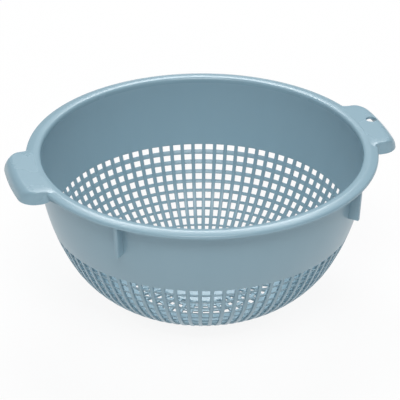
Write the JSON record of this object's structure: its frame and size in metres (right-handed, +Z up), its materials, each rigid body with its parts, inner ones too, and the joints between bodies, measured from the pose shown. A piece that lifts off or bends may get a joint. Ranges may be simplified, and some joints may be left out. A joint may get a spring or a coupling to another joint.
{
  "type": "colander",
  "caption": "Deep round plastic colander with a crowned rim, two side grips, a square lattice strainer wall and floor, and a hanging hole.",
  "frame": {"origin": "centre of the feet's underside, on the bowl's axis", "axes": "+Z up along the bowl's axis, +X through the handle with the hanging hole"},
  "size_m": [0.314, 0.28, 0.128],
  "materials": {
    "plastic": "satin, pale grey blue, moulded"
  },
  "bodies": {
    "root": {"rim": "plastic", "upper_wall": "plastic", "wall_ribs": "plastic", "wall_ring_1": "plastic", "wall_ring_2": "plastic", "wall_ring_3": "plastic", "wall_ring_4": "plastic", "wall_ring_5": "plastic", "wall_ring_6": "plastic", "wall_ring_7": "plastic", "wall_ring_8": "plastic", "wall_ring_9": "plastic", "base_ring": "plastic", "floor_spokes": "plastic", "floor_ring_1": "plastic", "floor_ring_2": "plastic", "centre_disc": "plastic", "foot_1": "plastic", "foot_2": "plastic", "foot_3": "plastic", "foot_4": "plastic", "left_handle": "plastic", "right_handle": "plastic", "lug_1": "plastic", "lug_2": "plastic", "lug_3": "plastic", "lug_4": "plastic"}
  },
  "joints": []
}
